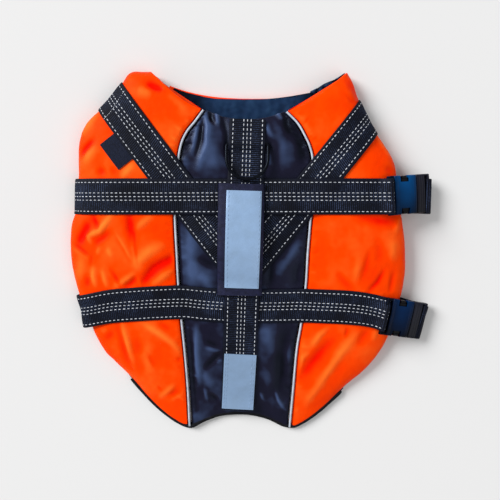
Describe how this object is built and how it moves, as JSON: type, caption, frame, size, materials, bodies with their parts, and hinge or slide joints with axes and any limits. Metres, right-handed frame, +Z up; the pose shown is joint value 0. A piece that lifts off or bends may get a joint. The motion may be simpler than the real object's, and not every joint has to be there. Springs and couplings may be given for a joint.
{
  "type": "dog life jacket",
  "caption": "Padded dog life jacket laid flat, folded at its sides, with webbing straps, grab handle, lead ring and side-release buckles.",
  "frame": {"origin": "middle of the base of the whole jacket's box, on the surface it lies on", "axes": "+Z up from the surface, +Y to the neck, +X to the buckles"},
  "size_m": [0.4122, 0.4172, 0.0523],
  "materials": {
    "shell_orange": "bright orange coated nylon over foam, slight sheen",
    "shell_navy": "navy-black shiny nylon over foam",
    "handle_cloth": "dark navy cloth",
    "lining": "navy blue nylon lining",
    "piping": "pale grey reflective cord piping",
    "binding": "black ribbed binding tape",
    "webbing": "black ribbed webbing with pale dashed threads",
    "reflective": "pale blue-grey reflective tape",
    "label": "dark woven label, blank",
    "ring_metal": "black coated steel wire",
    "buckle_plastic": "black moulded plastic, glossy"
  },
  "bodies": {
    "jacket": {"side_left": "shell_orange", "side_right": "shell_orange", "chest_panel": "shell_orange", "back_centre": "shell_navy", "handle": "handle_cloth", "neck_lining": "lining", "piping_left": "piping", "piping_right": "piping", "hem_binding": "binding", "chest_strap": "webbing", "chest_strap_under": "webbing", "belly_strap": "webbing", "belly_strap_under": "webbing", "shoulder_strap_left": "webbing", "shoulder_strap_left_under": "webbing", "shoulder_strap_right": "webbing", "shoulder_strap_right_under": "webbing", "spine_webbing": "webbing", "handle_reflective": "reflective", "tail_reflective": "reflective", "label": "label", "chest_buckle_female": "buckle_plastic", "chest_buckle_male": "buckle_plastic", "belly_buckle_female": "buckle_plastic", "belly_buckle_male": "buckle_plastic"},
    "ring": {"d_ring": "ring_metal"}
  },
  "joints": [
    {"name": "ring_swing", "type": "hinge", "parent": "jacket", "child": "ring", "pos_m": [-0.00414, 0.12743, 0.03653], "axis": [-1, 0, 0], "range_deg": [0, 140]}
  ]
}
